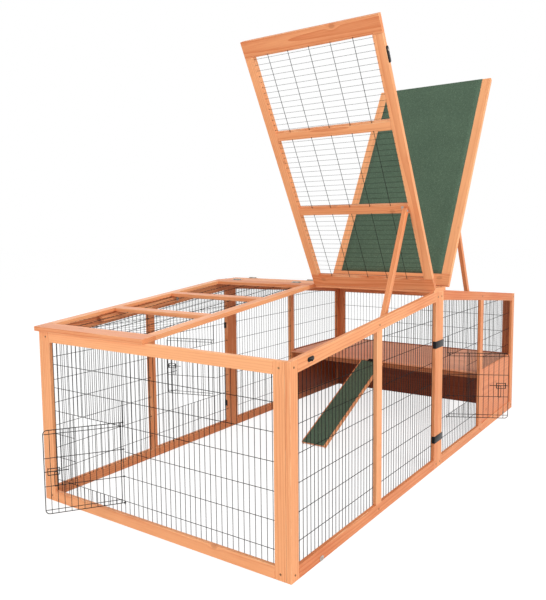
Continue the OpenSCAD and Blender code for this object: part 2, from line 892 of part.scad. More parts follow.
module panel_clip(z) {
    across = mid_post + touch_gap + clip_sheet;
    deep = half_width - side_net - edge_clear;
    low = z - clip_height / 2;
    high = z + clip_height / 2;
    color(black) difference() {
        block([-across, half_width - deep, low], [across, half_width + clip_sheet, high]);
        block(
            [clip_sheet - across, half_width - deep - cut_over, low - cut_over],
            [across - clip_sheet, half_width, high + cut_over]);
    }
}

module peg_eye() {
    color(zinc) slab_xz(half_width, half_width + clip_sheet)
        translate([peg_eye_at, peg_eye_height / 2 + wall_foot]) difference() {
            oval(peg_eye_length, peg_eye_height);
            circle(r = peg_eye_height / 5);
        }
}

module side_screws() {
    middle = member / 2;
    for (x = [mid_post - middle, bay_mid, half_length - middle]) for (z = [middle, roof_z(x) - middle])
        translate([x, half_width, z]) rotate([-90, 0, 0]) screw_head();
}

module end_screws() {
    middle = member / 2;
    y = inner_y - joint_gap - middle;
    for (side = [-1, 1]) for (z = [middle, eave_height - middle])
        translate([half_length, side * y, z]) rotate([0, 90, 0]) screw_head();
}

module ridge_screws() {
    x = ridge_half / 2;
    for (side = [-1, 1]) translate([x, side * (half_width - panel_thick / 2), ridge_top]) screw_head();
}

module frame_screws() {
    for (sx = [-1, 1]) {
        for (sy = [-1, 1]) quarter(sx, sy) side_screws();
        quarter(sx, 1) end_screws();
        quarter(sx, 1) ridge_screws();
    }
}

module panel_clips() {
    for (sy = [-1, 1]) for (z = [clip_low, clip_high]) quarter(1, sy) panel_clip(z);
}

// Fittings that are alike in every quarter of the run
module prop_rests() {
    for (sx = [-1, 1]) for (sy = [-1, 1]) quarter(sx, sy) prop_rest();
}

module peg_eyes() {
    for (sx = [-1, 1]) for (sy = [-1, 1]) quarter(sx, sy) peg_eye();
}

// Only the mesh lids have latches
module latch_catches() {
    for (sy = [-1, 1]) quarter(-1, sy) latch_catch();
}

module ridge_hinges() {
    color(zinc) for (sx = [-1, 1]) for (sy = [-1, 1]) for (y = hinge_places)
        quarter(sx, sy) translate([pin_x, y, pin_z]) hinge_seat();
}

module door_hinge_rods() {
    in_end_doorway() hinge_rod();
    in_front_doorway() hinge_rod();
    in_back_doorway() hinge_rod();
}

// ---------- assembly ----------

quarter(-1, -1) side_panel();  // front_left_panel
quarter(1, -1) side_panel();  // front_right_panel
quarter(-1, 1) side_panel();  // back_left_panel
quarter(1, 1) side_panel();  // back_right_panel
quarter(-1, 1) end_frame();  // left_end_frame
quarter(1, 1) end_frame();  // right_end_frame
ridge_board();
quarter(-1, -1) side_mesh();  // front_left_mesh
quarter(1, -1) side_mesh(front_door_at, true);  // front_right_mesh
quarter(-1, 1) side_mesh(back_door_at);  // back_left_mesh
quarter(1, 1) side_mesh(boarded = true);  // back_right_mesh
quarter(-1, 1) end_mesh(end_door_at);  // left_end_mesh
quarter(1, 1) end_mesh();  // right_end_mesh
platform_board();
platform_bearers();
side_wall();  // shelter_back_wall
quarter(1, -1) side_wall();  // shelter_front_wall
end_wall();  // shelter_end_wall
frame_screws();
panel_clips();
prop_rests();
latch_catches();
peg_eyes();
door_hinge_rods();
ridge_hinges();

on_front_lid(-1) mesh_lid_frame();  // front_left_lid_frame
on_front_lid(-1) mesh_lid_net();  // front_left_lid_mesh
on_front_lid(-1) lid_hardware(true);  // front_left_lid_hardware
on_front_lid(-1) prop(front_lids_open);  // front_left_prop
on_front_lid(-1) lid_latch();  // front_left_latch
on_back_lid(-1) mesh_lid_frame();  // back_left_lid_frame
on_back_lid(-1) mesh_lid_net();  // back_left_lid_mesh
on_back_lid(-1) lid_hardware(true);  // back_left_lid_hardware
on_back_lid(-1) prop(back_lids_open);  // back_left_prop
on_back_lid(-1) lid_latch();  // back_left_latch
on_front_lid(1) felt_lid_frame();  // front_right_lid_frame
on_front_lid(1) felt_lid_board();  // front_right_lid_board
on_front_lid(1) felt_lid_felt();  // front_right_lid_felt
on_front_lid(1) lid_hardware(false);  // front_right_lid_hardware
on_front_lid(1) prop(front_lids_open);  // front_right_prop
on_back_lid(1) felt_lid_frame();  // back_right_lid_frame
on_back_lid(1) felt_lid_board();  // back_right_lid_board
on_back_lid(1) felt_lid_felt();  // back_right_lid_felt
on_back_lid(1) lid_hardware(false);  // back_right_lid_hardware
on_back_lid(1) prop(back_lids_open);  // back_right_prop

on_end_door() door();  // end_door
on_end_door() door_bolt();  // end_door_bolt
on_front_door() door();  // front_door
on_front_door() door_bolt();  // front_door_bolt
on_back_door() door();  // back_door
on_back_door() door_bolt();  // back_door_bolt

ramp_board();
ramp_felt();
ramp_strips();
ramp_hinge();
ramp_hinge_seat();
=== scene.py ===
"""Outdoor rabbit run: glazed pine, welded mesh, two felted lids and wire doors."""
import json
import math
import random

import bmesh
import bpy
from mathutils import Matrix, Vector, noise


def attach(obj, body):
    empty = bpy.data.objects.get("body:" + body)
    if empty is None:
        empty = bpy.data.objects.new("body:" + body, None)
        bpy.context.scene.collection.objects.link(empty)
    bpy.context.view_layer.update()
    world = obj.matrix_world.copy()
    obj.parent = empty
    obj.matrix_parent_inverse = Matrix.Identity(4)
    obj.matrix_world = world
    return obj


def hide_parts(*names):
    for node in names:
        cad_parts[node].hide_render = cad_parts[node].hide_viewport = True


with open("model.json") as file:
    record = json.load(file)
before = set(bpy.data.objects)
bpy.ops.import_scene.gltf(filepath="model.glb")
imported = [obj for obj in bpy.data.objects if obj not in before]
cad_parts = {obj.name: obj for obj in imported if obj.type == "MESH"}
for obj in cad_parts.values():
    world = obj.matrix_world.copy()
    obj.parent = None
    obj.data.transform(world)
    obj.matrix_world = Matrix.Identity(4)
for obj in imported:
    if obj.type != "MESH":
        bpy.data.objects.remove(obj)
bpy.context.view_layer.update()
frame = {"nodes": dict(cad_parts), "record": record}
nodes = frame["nodes"]
body_of = {
    node: body
    for body, members in frame["record"]["behaviour"]["bodies"].items()
    for node in members
}

# ---------------------------------------------------------------------------
# The camera stands at a corner of the run, at about the height of a person who
# bends down to it, and looks along both the left end and the front long side.
camera_at = Vector((-2.7145, -1.6127, 1.0480))
camera_yaw = math.radians(55.326)
camera_pitch = math.radians(-5.604)
camera_roll = math.radians(-0.546)

ahead = Vector((
    math.sin(camera_yaw) * math.cos(camera_pitch),
    math.cos(camera_yaw) * math.cos(camera_pitch),
    math.sin(camera_pitch),
))
level = ahead.cross(Vector((0, 0, 1))).normalized()
upright = level.cross(ahead)
to_right = math.cos(camera_roll) * level + math.sin(camera_roll) * upright
to_top = math.cos(camera_roll) * upright - math.sin(camera_roll) * level

camera_data = bpy.data.cameras.new("camera")
camera_data.lens = 39.695
camera_data.shift_x = -0.0081
camera_data.shift_y = -0.0101
camera_data.clip_end = 200
camera = bpy.data.objects.new("camera", camera_data)
bpy.context.collection.objects.link(camera)
camera.matrix_world = Matrix((
    (to_right.x, to_top.x, -ahead.x, camera_at.x),
    (to_right.y, to_top.y, -ahead.y, camera_at.y),
    (to_right.z, to_top.z, -ahead.z, camera_at.z),
    (0, 0, 0, 1),
))
bpy.context.scene.camera = camera

# ---------------------------------------------------------------------------
# The long sides, the ends and the ridge board: pine planed to 42 x 18 mm, with
# eased edges, glazed honey brown before it was joined. Posts and rails butt
# against each other and are screwed, so a fine line shows at every joint.
pine_arris = 0.0013
# The painted shade of the faces that look into the run, at its fullest
inner_painted_shade = 0.9
same_spot = 1e-6
flat_edge = math.radians(0.5)
sharp_edge = math.radians(30)
knot_reach = (0.02, 0.2)
knot_heart = (0.05, 0.085)
# How many times a metre each part of the figure changes: along, across and through
knot_figure = (5.2, 8, 8)
sway_figure = (1.1, 7, 7)
fibre_figure = (9, 420, 420)
cloud_figure = (2.6, 14, 14)
glaze_figure = (5, 30, 30)
ring_sway = 0.02
ring_bend = 0.003
ring_edge = 2.6
pore_depth = 0.0006
gloss_spread = 0.22
# The brown that painted shade multiplies the colour by
shade_painted_brown = (0.44, 0.30, 0.22, 1)
# Where the heart of the log lies from the middle of a board cut from it
log_length = 30
heart_aside = 0.05
heart_depth = (0.025, 0.08)


def shade(red, green, blue):
    """A colour as it looks on a screen, from 0 to 255, as the light it stands for."""
    def light(level):
        level = level / 255
        return level / 12.92 if level <= 0.04045 else ((level + 0.055) / 1.055) ** 2.4
    return (light(red), light(green), light(blue), 1)


class Tone:
    """A value that varies over a surface or along a row. Sums and products of tones
    add Math nodes to their tree, and any other node comes from node()."""

    def __init__(self, tree, socket=None):
        self.tree = tree
        self.socket = socket

    def node(self, kind, settings=None, values=None, out=0):
        made = self.tree.nodes.new(kind)
        for name, setting in (settings or {}).items():
            setattr(made, name, setting)
        for name, value in (values or {}).items():
            for one in value if isinstance(value, list) else [value]:
                if isinstance(one, Tone):
                    self.tree.links.new(one.socket, made.inputs[name])
                else:
                    made.inputs[name].default_value = one
        return Tone(self.tree, made.outputs[out])

    def math(self, operation, first, second):
        return self.node("ShaderNodeMath", {"operation": operation}, {0: first, 1: second})

    def __add__(self, other):
        return self.math("ADD", self, other)

    __radd__ = __add__

    def __sub__(self, other):
        return self.math("SUBTRACT", self, other)

    def __rsub__(self, other):
        return self.math("SUBTRACT", other, self)

    def __mul__(self, other):
        return self.math("MULTIPLY", self, other)

    __rmul__ = __mul__

    def __truediv__(self, other):
        return self.math("DIVIDE", self, other)

    def __gt__(self, other):
        return self.math("GREATER_THAN", self, other)

    def __pow__(self, other):
        return self.math("POWER", self, other)

    def least(self, other):
        return self.math("MINIMUM", self, other)

    def most(self, other):
        return self.math("MAXIMUM", self, other)

    def rise(self, low, high):
        """0 below low, 1 above high, and a smooth rise between them."""
        return self.node(
            "ShaderNodeMapRange", {"interpolation_type": "SMOOTHSTEP"},
            {"Value": self, "From Min": low, "From Max": high})

    def between(self, first, second):
        """The colour a share of self of the way from the first to the second."""
        return self.node(
            "ShaderNodeMix", {"data_type": "RGBA"}, {0: self, 6: first, 7: second}, out=2)

    def parts(self):
        return [self.node("ShaderNodeSeparateXYZ", None, {0: self}, out=i) for i in range(3)]

    def vector(self, x, y, z):
        return self.node("ShaderNodeCombineXYZ", None, {0: x, 1: y, 2: z})

    def stretched(self, x, y, z):
        return self.node(
            "ShaderNodeVectorMath", {"operation": "MULTIPLY"}, {0: self, 1: (x, y, z)})

    def speckle(self, scale, detail=2.0, roughness=0.5):
        return self.node(
            "ShaderNodeTexNoise", None,
            {"Vector": self, "Scale": scale, "Detail": detail, "Roughness": roughness})


def new_finish(name):
    """A new material, a tone to start its nodes from, and its shader."""
    material = bpy.data.materials.new(name)
    material.use_nodes = True
    tree = material.node_tree
    return material, Tone(tree), tree.nodes["Principled BSDF"]


def feed(shader, **tones):
    """Lays tones on the shader's sockets, whose names are written with _ for a space."""
    for name, tone in tones.items():
        tone.tree.links.new(tone.socket, shader.inputs[name.replace("_", " ")])


def timber_finish(name, early, late, knot, worn, ring_width, gloss):
    """Glazed softwood, from the run of grain, the wear and the painted shade that boards() gives a
    piece.
    """
    material, start, shader = new_finish(name)
    shader.inputs["Specular IOR Level"].default_value = 0.25
    grain = start.node("ShaderNodeAttribute", {"attribute_name": "grain"}, out="Vector")
    tint, arris, inside = (
        start.node("ShaderNodeAttribute", {"attribute_name": share}, out="Fac")
        for share in ("tint", "worn", "inside"))
    along, across, deep = grain.parts()

    sway = grain.stretched(*sway_figure).speckle(1.0, 2.0) - 0.5
    near_knot = start.node(
        "ShaderNodeTexVoronoi", None,
        {"Vector": grain.stretched(*knot_figure), "Scale": 1.0, "Randomness": 1.0})
    bend = 1 - near_knot.rise(*knot_reach)
    ring_at = (across * across + deep * deep) ** 0.5 + sway * ring_sway + bend * ring_bend
    ring = start.node("ShaderNodeMath", {"operation": "FRACT"}, {0: ring_at / ring_width})
    late_wood = ring ** ring_edge
    fibre = grain.stretched(*fibre_figure).speckle(1.0, 3.0, 0.6)
    cloud = grain.stretched(*cloud_figure).speckle(1.0, 2.0)
    glaze = grain.stretched(*glaze_figure).speckle(1.0, 4.0, 0.65)

    dark = late_wood * 0.36 + (fibre - 0.5) * 0.6 + (cloud - 0.5) * 0.5 + (tint - 0.5) * 0.5 + 0.16
    colour = dark.rise(-0.15, 1.0).between(early, late)
    heart = 1 - near_knot.rise(*knot_heart)
    colour = (heart * 0.3).between(colour, knot)
    rubbed = arris * glaze.rise(0.42, 0.62) * 0.7
    colour = rubbed.between(colour, worn)
    # Painted shade: faces that look into the run are multiplied by a brown, for the shade that
    # falls there.
    colour = start.node(
        "ShaderNodeMix", {"data_type": "RGBA", "blend_type": "MULTIPLY"},
        {0: inside, 6: colour, 7: shade_painted_brown}, out=2)
    relief = late_wood * 0.5 + fibre * 0.7 - heart * 0.5
    feed(
        shader,
        Base_Color=colour,
        Roughness=glaze * gloss_spread + (gloss - gloss_spread / 2) + rubbed * 0.12,
        Normal=relief.node(
            "ShaderNodeBump", None,
            {"Strength": 0.22, "Distance": pore_depth, "Height": relief}))
    return material


def solids_of(node):
    """Each solid of a CAD node, as its corners and its faces."""
    bm = bmesh.new()
    bm.from_mesh(nodes[node].data)
    bmesh.ops.remove_doubles(bm, verts=bm.verts[:], dist=same_spot)
    bm.faces.index_update()
    bm.verts.index_update()
    seen = set()
    solids = []
    for first in bm.faces:
        if first.index in seen:
            continue
        seen.add(first.index)
        group = [first]
        for face in group:
            for edge in face.edges:
                for beside in edge.link_faces:
                    if beside.index not in seen:
                        seen.add(beside.index)
                        group.append(beside)
        order = {}
        faces = [[order.setdefault(v.index, len(order)) for v in face.verts] for face in group]
        corners = {order[v.index]: v.co.copy() for face in group for v in face.verts}
        solids.append(([corners[i] for i in range(len(corners))], faces))
    bm.free()
    return solids


def eased(corners, faces, arris):
    """A solid with whole flat faces and eased edges, and the faces of those edges."""
    bm = bmesh.new()
    verts = [bm.verts.new(corner) for corner in corners]
    for face in faces:
        bm.faces.new([verts[i] for i in face])
    bm.normal_update()
    bmesh.ops.dissolve_limit(
        bm, angle_limit=flat_edge, verts=bm.verts[:], edges=bm.edges[:])
    edges = [e for e in bm.edges if e.is_manifold and e.calc_face_angle() > sharp_edge]
    made = bmesh.ops.bevel(
        bm, geom=edges, offset=arris, offset_type="OFFSET", segments=2, profile=0.5,
        affect="EDGES", clamp_overlap=True)
    return bm, set(made["faces"])


def grain_axes(corners, faces):
    """Along a board, across its widest face, and through it."""
    beside = {}
    crosses = []
    for face in faces:
        a, b, c = (corners[i] for i in face[:3])
        crosses.append((b - a).cross(c - a))
        normal = crosses[-1].normalized()
        for i in range(len(face)):
            beside.setdefault(frozenset((face[i], face[i - 1])), []).append(normal)
    spans = [
        corners[max(edge)] - corners[min(edge)]
        for edge, normals in beside.items() if abs(normals[0].dot(normals[-1])) < 0.999]
    along = max(spans, key=lambda span: round(span.length, 6)).normalized()
    areas = {}
    for normal in crosses:
        if abs(normal.normalized().dot(along)) < 0.2:
            key = tuple(round(abs(x), 1) for x in normal.normalized())
            areas.setdefault(key, [0, normal.normalized()])[0] += normal.length
    deep = max(areas.values(), key=lambda item: round(item[0], 9))[1]
    across = deep.cross(along).normalized()
    return along, across, along.cross(across)


def new_piece(name, mesh):
    piece = bpy.data.objects.new(name, mesh)
    bpy.context.collection.objects.link(piece)
    return piece


def boards(name, node, finish, arris=pine_arris, darker=0.0, inside=(0, 0, 0), tints=()):
    """The boards of a CAD node with eased edges, each with its own run of grain. The faces that
    look the way of inside get painted shade, darker by its length, for the shade that falls inside
    the run; tints gives single boards, by their number, a tone of their own."""
    dice = random.Random(node)
    points, polygons, grain, tint, worn, painted_shade_amounts = [], [], [], [], [], []
    for number, (corners, faces) in enumerate(solids_of(node)):
        axes = grain_axes(corners, faces)
        middle = sum(corners, Vector()) / len(corners)
        heart = Vector((
            dice.uniform(0, log_length), dice.uniform(-heart_aside, heart_aside),
            dice.choice((-1, 1)) * dice.uniform(*heart_depth)))
        board_tint = dict(tints).get(number, dice.random()) + darker
        bm, edge_faces = eased(corners, faces, arris)
        bm.verts.index_update()
        first = len(points)
        for vert in bm.verts:
            points.append(vert.co.copy())
            place = vert.co - middle
            grain.extend(place.dot(axis) + heart[i] for i, axis in enumerate(axes))
            tint.append(board_tint)
        for face in bm.faces:
            polygons.append([first + v.index for v in face.verts])
            worn.append(1.0 if face in edge_faces else 0.0)
            # How much painted shade the face gets, from how far it looks the way of inside
            painted_shade_amounts.append(min(1.0, max(0.0, face.normal.dot(Vector(inside)))))
        bm.free()
    mesh = bpy.data.meshes.new(name)
    mesh.from_pydata(points, [], polygons)
    mesh.attributes.new("grain", "FLOAT_VECTOR", "POINT").data.foreach_set("vector", grain)
    mesh.attributes.new("tint", "FLOAT", "POINT").data.foreach_set("value", tint)
    mesh.attributes.new("worn", "FLOAT", "FACE").data.foreach_set("value", worn)
    mesh.attributes.new("inside", "FLOAT", "FACE").data.foreach_set("value", painted_shade_amounts)
    mesh.materials.append(finish)
    piece = new_piece(name, mesh)
    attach(piece, body_of[node])
    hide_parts(node)


pine = timber_finish(
    "honey_glazed_pine",
    early=shade(252, 180, 126), late=shade(210, 112, 62),
    knot=shade(140, 74, 38), worn=shade(255, 208, 160),
    ring_width=0.0062, gloss=0.5)
# The front panels and the left end get painted shade on their inner faces, the back panels and the
# right end a little of it.
for panel, tints in (
        ("front_left_panel", {0: 0.9, 1: 0.5, 2: 1.15, 3: 0.7, 4: 0.4}),
        ("front_right_panel", {0: 0.5, 1: 0.9, 2: 0.9, 3: 1.3, 4: 0.9})):
    boards(
        panel + "_timber", panel, pine,
        inside=(0, inner_painted_shade, 0), tints=tints)
for panel in ("back_left_panel", "back_right_panel"):
    boards(panel + "_timber", panel, pine, inside=(0, -0.3, 0))
boards(
    "left_end_timber", "left_end_frame", pine,
    inside=(inner_painted_shade, 0, 0), tints={3: 0.05})
boards("right_end_timber", "right_end_frame", pine, inside=(-0.35, 0, 0))
boards("ridge_timber", "ridge_board", pine)

# ---------------------------------------------------------------------------
# The mesh of the sides and ends: welded wire, uprights every 22 mm outside and level
# wires every 91 mm behind, stapled into a rebate round each bay. The wires are cut
# out where a door hangs, and they end behind the boards of the sleeping place.
wire_radius = 0.00115
upright_pitch = 0.0223
row_pitch = 0.0912
rebate_grip = 0.0045
member = 0.042
eave_height = 0.6685
half_length = 1.165
ridge_half = 0.065
roof_angle = 5.5
roof_slope = math.tan(math.radians(roof_angle))
side_sheet_at = 0.566
end_sheet_at = 1.151
side_first_row = 0.104
end_first_row = 0.083
jamb_gap = 0.0074
doorway_spaces = 12
doorway_rows = 3
doorway_width = doorway_spaces * upright_pitch + jamb_gap
doorway_height = doorway_rows * row_pitch
far_off = 9
no_doorway = (far_off, far_off, far_off)
level_top = (far_off, 1)
sloped_top = (ridge_half, roof_slope)


def new_pattern(name, sizes, on_points=False):
    """An empty tree of Geometry Nodes with an input for each size that it needs. One
    that puts a head on points takes those two first."""
    tree = bpy.data.node_groups.new(name, "GeometryNodeTree")
    inputs = [("Places", "Geometry"), ("Head", "Object")] if on_points else []
    for label, kind in inputs + [("Finish", "Material")] + [(size, "Float") for size in sizes]:
        tree.interface.new_socket(label, in_out="INPUT", socket_type="NodeSocket" + kind)
    tree.interface.new_socket("Piece", in_out="OUTPUT", socket_type="NodeSocketGeometry")
    given = tree.nodes.new("NodeGroupInput")
    return Tone(tree), {out.name: Tone(tree, out) for out in given.outputs if out.name}


def end_pattern(start, given, shapes, smooth=True):
    """Joins the shapes, makes them real and gives them their finish."""
    together = start.node("GeometryNodeJoinGeometry", None, {0: shapes})
    real = start.node("GeometryNodeRealizeInstances", None, {0: together})
    if smooth:
        real = start.node("GeometryNodeSetShadeSmooth", None, {0: real})
    coated = start.node("GeometryNodeSetMaterial", None, {0: real, "Material": given["Finish"]})
    result = start.tree.nodes.new("NodeGroupOutput")
    start.tree.links.new(coated.socket, result.inputs[0])


def row_of(start, count, first, step):
    """Points in a straight row."""
    return start.node(
        "GeometryNodeMeshLine", {"mode": "OFFSET"},
        {"Count": count, "Start Location": first, "Offset": step})


def stick(start, radius, sides=6):
    """A round wire one unit long, standing on its end."""
    rod = start.node(
        "GeometryNodeMeshCylinder", None,
        {"Vertices": sides, "Radius": radius, "Depth": 1.0})
    return start.node(
        "GeometryNodeTransform", None, {"Geometry": rod, "Translation": (0, 0, 0.5)})


def laid(start, points, wire, shift, turn, length, chosen=True):
    """A wire on each chosen point, moved by shift, turned, and as long as it says."""
    moved = start.node(
        "GeometryNodeSetPosition", None, {"Geometry": points, "Offset": shift})
    return start.node(
        "GeometryNodeInstanceOnPoints", None,
        {"Points": moved, "Selection": chosen, "Instance": wire, "Rotation": turn,
         "Scale": start.vector(1.0, 1.0, length)})


sheet_sizes = (
    "Left", "Right", "Foot", "Top", "Level part", "Slope",
    "First upright", "Upright pitch", "Uprights", "First row", "Row pitch", "Rows",
    "Door from", "Door to", "Door foot", "Door head", "Wire radius", "Close share")
start, given = new_pattern("wire_sheet", sheet_sizes)
here = start.node("GeometryNodeInputPosition").parts()
close_wire = stick(start, given["Wire radius"] * given["Close share"])
wire = stick(start, given["Wire radius"])
behind = given["Wire radius"] * (given["Close share"] + 1)
uprights = row_of(
    start, given["Uprights"], start.vector(given["First upright"], 0.0, 0.0),
    start.vector(given["Upright pitch"], 0.0, 0.0))
top_here = given["Top"] - (here[0] - given["Level part"]).most(0.0) * given["Slope"]
in_doorway = (here[0] > given["Door from"]) * (1 - (here[0] > given["Door to"]))
lower_top = top_here - in_doorway * (top_here - given["Door foot"])
rows = row_of(
    start, given["Rows"], start.vector(0.0, 0.0, given["First row"]),
    start.vector(0.0, 0.0, given["Row pitch"]))
right_here = ((given["Top"] - here[2]) / given["Slope"] + given["Level part"]).least(
    given["Right"])
beside_door = (here[2] > given["Door foot"]) * (1 - (here[2] > given["Door head"]))
left_part_to = right_here - beside_door * (right_here - given["Door from"])
standing = (0.0, 0.0, 0.0)
lying = (0.0, math.pi / 2, 0.0)
jamb = row_of(start, 1, start.vector(given["Door to"], 0.0, 0.0), (0.0, 0.0, 0.0))
end_pattern(start, given, [
    laid(start, uprights, close_wire, start.vector(0.0, 0.0, given["Foot"]),
         standing, lower_top - given["Foot"]),
    laid(start, uprights, close_wire, start.vector(0.0, 0.0, given["Door head"]),
         standing, top_here - given["Door head"], in_doorway),
    laid(start, rows, wire, start.vector(given["Left"], behind, 0.0),
         lying, left_part_to - given["Left"]),
    laid(start, rows, wire, start.vector(given["Door to"], behind, 0.0),
         lying, right_here - given["Door to"], beside_door),
    laid(start, jamb, wire, start.vector(0.0, 0.0, given["Door foot"]),
         standing, given["Door head"] - given["Door foot"],
         (given["Door to"] > given["Left"]) * (given["Right"] > given["Door to"])),
])
wire_sheet = start.tree


def in_decimals(sizes):
    """The sizes as decimal numbers, which is how a pattern takes them."""
    return {name: float(size) for name, size in sizes.items()}


def made_up(name, pattern, values, finish, spots=None):
    """The plain mesh that a pattern makes with these values, on the spots if it needs
    some. The jig that it is made on goes again."""
    jig = new_piece(name, spots or bpy.data.meshes.new(name))
    modifier = jig.modifiers.new("pattern", "NODES")
    modifier.node_group = pattern
    for item in pattern.interface.items_tree:
        if item.name in values:
            modifier[item.identifier] = values[item.name]
        elif item.name == "Finish":
            modifier[item.identifier] = finish
    bpy.context.view_layer.update()
    solid = jig.evaluated_get(bpy.context.evaluated_depsgraph_get())
    mesh = bpy.data.meshes.new_from_object(solid)
    bpy.data.objects.remove(jig)
    mesh.polygons.foreach_set("material_index", [0] * len(mesh.polygons))
    mesh.materials.clear()
    mesh.materials.append(finish)
    return mesh


def put(mesh, place):
    """The mesh moved to its place, with its faces outwards where it is mirrored."""
    mesh.transform(place)
    if place.determinant() < 0:
        mesh.flip_normals()
    return mesh


def mesh_from(bm, name):
    """The mesh of what was drawn, whose drawing is put away."""
    mesh = bpy.data.meshes.new(name)
    bm.to_mesh(mesh)
    bm.free()
    return mesh


def joined(name, meshes):
    """One piece of several meshes that share a finish."""
    bm = bmesh.new()
    for mesh in meshes:
        bm.from_mesh(mesh)
    whole = mesh_from(bm, name)
    whole.materials.append(meshes[0].materials[0])
    return new_piece(name, whole)


def sheet_mesh(left, right, foot, top, shape, first_row, doorway, finish, close_share=0.95):
    """A sheet of welded wire in its own X and Z, with its outside towards -Y. Its top is
    level up to the first number of its shape, and falls by the second from there. The
    close wires are a share as thick as the wide ones."""
    level_part, slope = shape
    door_from, door_foot, door_head = doorway
    inset = wire_radius
    if door_from < right:
        beside_door = door_from + upright_pitch
        first = beside_door - math.floor(
            (beside_door - left - inset) / upright_pitch) * upright_pitch
    else:
        spaces = math.floor((right - left - 2 * inset) / upright_pitch)
        first = (left + right - spaces * upright_pitch) / 2
    sizes = {
        "Left": left, "Right": right, "Foot": foot, "Top": top,
        "Level part": level_part, "Slope": slope,
        "First upright": first, "Upright pitch": upright_pitch,
        "Uprights": math.floor((right - first - inset) / upright_pitch) + 1,
        "First row": first_row, "Row pitch": row_pitch,
        "Rows": math.floor((top - inset - first_row) / row_pitch) + 1,
        "Door from": door_from - inset, "Door to": door_from + doorway_width,
        "Door foot": door_foot + inset, "Door head": door_head - inset,
        "Wire radius": wire_radius, "Close share": close_share}
    return made_up("sheet", wire_sheet, in_decimals(sizes), finish)


metal_patches = 38.0
metal_grit = 900.0
grit_depth = 0.0002
rough_spread = 0.2


def wire_finish(name, dark, pale, metal, rough, shine=0.5):
    """Drawn wire or pressed sheet with a dull skin that is a little uneven."""
    material, start, shader = new_finish(name)
    shader.inputs["Specular IOR Level"].default_value = shine
    place = start.node("ShaderNodeTexCoord", out="Object")
    patch = place.speckle(metal_patches, 3.0)
    grit = place.speckle(metal_grit, 2.0)
    skin = (patch * 0.7 + grit * 0.3).rise(0.35, 0.68)
    feed(
        shader,
        Base_Color=skin.between(dark, pale),
        Roughness=grit * rough_spread + (rough - rough_spread / 2),
        Normal=grit.node(
            "ShaderNodeBump", None, {"Strength": 0.2, "Distance": grit_depth, "Height": grit}))
    shader.inputs["Metallic"].default_value = metal
    return material


mesh_wire = wire_finish(
    "dark_mesh_wire", dark=shade(14, 14, 14), pale=shade(38, 38, 37), metal=0, rough=0.7,
    shine=0.15)

bays = ((0.0422, 0.5615), (0.6035, 1.123))
end_door_at = 0.141
front_door_at = 0.138
back_door_at = 0.148
rows_behind_board = 3
side_foot = member - rebate_grip
board_mesh_foot = 0.314
side_top = eave_height + (half_length - ridge_half) * roof_slope - member + rebate_grip
for node, side_x, side_y, door_from in (
        ("front_left_mesh", -1, -1, None), ("front_right_mesh", 1, -1, front_door_at),
        ("back_left_mesh", -1, 1, back_door_at), ("back_right_mesh", 1, 1, None)):
    place = Matrix.Diagonal((side_x, side_y, 1, 1)) @ Matrix.Translation(
        (0, side_sheet_at - wire_radius, 0)) @ Matrix.Diagonal((1, -1, 1, 1))
    sheets = []
    for i, (post, mullion) in enumerate(bays):
        doorway = no_doorway
        if i == 0 and door_from:
            door_foot = side_first_row + row_pitch
            doorway = (door_from, door_foot, door_foot + doorway_height)
        foot, first_row = side_foot, side_first_row
        if side_x > 0 and i == 1:
            foot, first_row = board_mesh_foot, side_first_row + rows_behind_board * row_pitch
        sheets.append(put(sheet_mesh(
            post - rebate_grip, mullion + rebate_grip, foot, side_top, sloped_top,
            first_row, doorway, mesh_wire), place))
    piece = joined(node + "_wires", sheets)
    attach(piece, "run")
    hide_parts(node)

end_frame_half = 0.562
joint_gap = 0.0002
x_along_y = Matrix(((0, -1, 0, 0), (1, 0, 0, 0), (0, 0, 1, 0), (0, 0, 0, 1)))
end_reach = end_frame_half - joint_gap - member + rebate_grip
for node, side_x, doorway in (
        ("left_end_mesh", -1, (end_door_at, end_first_row, end_first_row + doorway_height)),
        ("right_end_mesh", 1, no_doorway)):
    mesh = sheet_mesh(
        -end_reach, end_reach, side_foot, eave_height - member + rebate_grip, level_top,
        end_first_row, doorway, mesh_wire)
    place = Matrix.Diagonal((side_x, 1, 1, 1)) @ Matrix.Translation(
        (end_sheet_at - wire_radius, 0, 0)) @ x_along_y
    piece = joined(node + "_wires", [put(mesh, place)])
    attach(piece, "run")
    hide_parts(node)

# ---------------------------------------------------------------------------
# The sleeping place at the right end: a platform of pink brown plywood on pine
# bearers, and plywood walls that close the space beneath on three sides. Those of
# the long sides stand in their bays. The sheets drink in more stain than the pine.
ply = timber_finish(
    "stained_plywood",
    early=shade(236, 166, 126), late=shade(192, 114, 78),
    knot=shade(128, 70, 44), worn=shade(240, 186, 150),
    ring_width=0.011, gloss=0.5)
wall_ply = timber_finish(
    "deep_stained_plywood",
    early=shade(232, 146, 98), late=shade(188, 100, 60),
    knot=shade(128, 66, 38), worn=shade(240, 176, 132),
    ring_width=0.011, gloss=0.5)
# The walls get painted shade on their inner faces, for the dark space beneath the platform.
for board, finish, inside in (
        ("platform_board", ply, (0, 0, 0)),
        ("shelter_front_wall", wall_ply, (0, inner_painted_shade, 0)),
        ("shelter_back_wall", wall_ply, (0, -inner_painted_shade, 0)),
        ("shelter_end_wall", wall_ply, (-inner_painted_shade, 0, 0))):
    boards(board + "_ply", board, finish, arris=0.0006, inside=inside)
# The bearers are made darker all over and their faces towards the free edge darker still: painted
# shade beneath the platform.
boards(
    "platform_bearers_timber", "platform_bearers", pine, darker=0.5,
    inside=(-inner_painted_shade, 0, 0))

